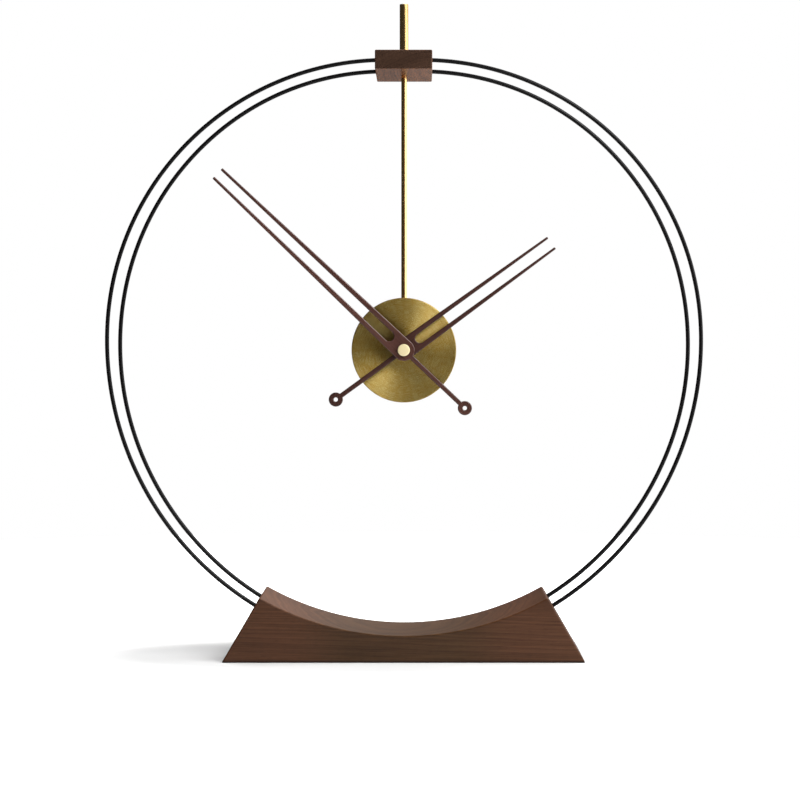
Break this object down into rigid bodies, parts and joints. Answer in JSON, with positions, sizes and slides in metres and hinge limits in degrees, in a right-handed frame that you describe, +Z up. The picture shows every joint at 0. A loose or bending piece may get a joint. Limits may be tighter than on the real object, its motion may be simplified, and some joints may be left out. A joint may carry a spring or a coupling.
{
  "type": "standing clock",
  "caption": "Skeleton mantel clock: a small brass case with forked hands hangs on a rod inside black double hoops that rise from a concave walnut foot to a walnut block.",
  "frame": {"origin": "middle of the foot's underside, on the surface that the clock stands on", "axes": "+Z up, the hands' side faces -Y, and +X is to the right as seen from the front"},
  "size_m": [0.501, 0.09, 0.545],
  "materials": {
    "walnut": "oiled, satin",
    "hand_walnut": "oiled, satin",
    "black_steel": "black satin lacquer",
    "brass": "turned, satin lacquer",
    "rod_brass": "dark, polished",
    "pale_brass": "polished",
    "black_plastic": "moulded",
    "white_plastic": "moulded",
    "rubber": "matt",
    "steel": "stamped sheet",
    "copper": "enamelled copper wire",
    "board": "solder resist",
    "magnet": "sintered, grey",
    "cell_sleeve": "plain printed sleeve"
  },
  "bodies": {
    "frame": {"base_block": "walnut", "top_block": "walnut", "outer_hoop_right": "black_steel", "outer_hoop_left": "black_steel", "inner_hoop_right": "black_steel", "inner_hoop_left": "black_steel", "hanger_rod": "rod_brass", "finial_rod": "rod_brass", "rod_nut": "brass", "case_shell": "brass", "rubber_washer": "rubber", "threaded_bush": "brass", "face_washer": "brass", "face_nut": "brass", "movement_housing": "black_plastic", "movement_cover": "black_plastic", "stator": "steel", "coil_core": "steel", "coil_bobbin": "white_plastic", "coil_winding": "copper", "circuit_board": "board", "quartz_crystal": "steel", "chip": "black_plastic", "battery": "cell_sleeve", "positive_contact": "steel", "negative_contact": "steel"},
    "minute_hand_set": {"minute_arbor": "brass", "centre_wheel": "brass", "minute_hand": "hand_walnut", "minute_hand_bush": "brass", "cap_nut": "pale_brass"},
    "hour_hand_set": {"hour_wheel": "white_plastic", "hour_hand": "hand_walnut", "hour_hand_bush": "brass"},
    "minute_wheel": {"minute_wheel": "white_plastic"},
    "setting_knob": {"setting_knob": "black_plastic"},
    "third_wheel": {"third_wheel": "white_plastic"},
    "fourth_wheel": {"fourth_wheel": "white_plastic"},
    "fifth_wheel": {"fifth_wheel": "white_plastic"},
    "rotor": {"rotor": "magnet"}
  },
  "joints": [
    {"name": "minute_turn", "type": "hinge", "parent": "frame", "child": "minute_hand_set", "pos_m": [0, 0, 0.2555], "axis": [0, 1, 0], "continuous": true},
    {"name": "hour_turn", "type": "hinge", "parent": "frame", "child": "hour_hand_set", "pos_m": [0, 0, 0.2555], "axis": [0, 1, 0], "continuous": true},
    {"name": "minute_wheel_turn", "type": "hinge", "parent": "frame", "child": "minute_wheel", "pos_m": [0.00063, 0, 0.26267], "axis": [0, 1, 0], "continuous": true},
    {"name": "knob_turn", "type": "hinge", "parent": "frame", "child": "setting_knob", "pos_m": [0, 0, 0.26985], "axis": [0, 1, 0], "continuous": true},
    {"name": "third_wheel_turn", "type": "hinge", "parent": "frame", "child": "third_wheel", "pos_m": [-0.00865, 0, 0.26049], "axis": [0, 1, 0], "continuous": true},
    {"name": "fourth_wheel_turn", "type": "hinge", "parent": "frame", "child": "fourth_wheel", "pos_m": [0, 0, 0.2555], "axis": [0, 1, 0], "continuous": true},
    {"name": "fifth_wheel_turn", "type": "hinge", "parent": "frame", "child": "fifth_wheel", "pos_m": [0.00947, 0, 0.25895], "axis": [0, 1, 0], "continuous": true},
    {"name": "rotor_turn", "type": "hinge", "parent": "frame", "child": "rotor", "pos_m": [0.01253, 0, 0.26425], "axis": [0, 1, 0], "continuous": true}
  ],
  "couplings": [
    {"joint": "hour_turn", "follows": "minute_turn", "ratio": 0.083333},
    {"joint": "minute_wheel_turn", "follows": "minute_turn", "ratio": -0.33333},
    {"joint": "knob_turn", "follows": "minute_turn", "ratio": 1},
    {"joint": "third_wheel_turn", "follows": "minute_turn", "ratio": -8},
    {"joint": "fourth_wheel_turn", "follows": "minute_turn", "ratio": 60},
    {"joint": "fifth_wheel_turn", "follows": "minute_turn", "ratio": -360},
    {"joint": "rotor_turn", "follows": "minute_turn", "ratio": 1800}
  ]
}
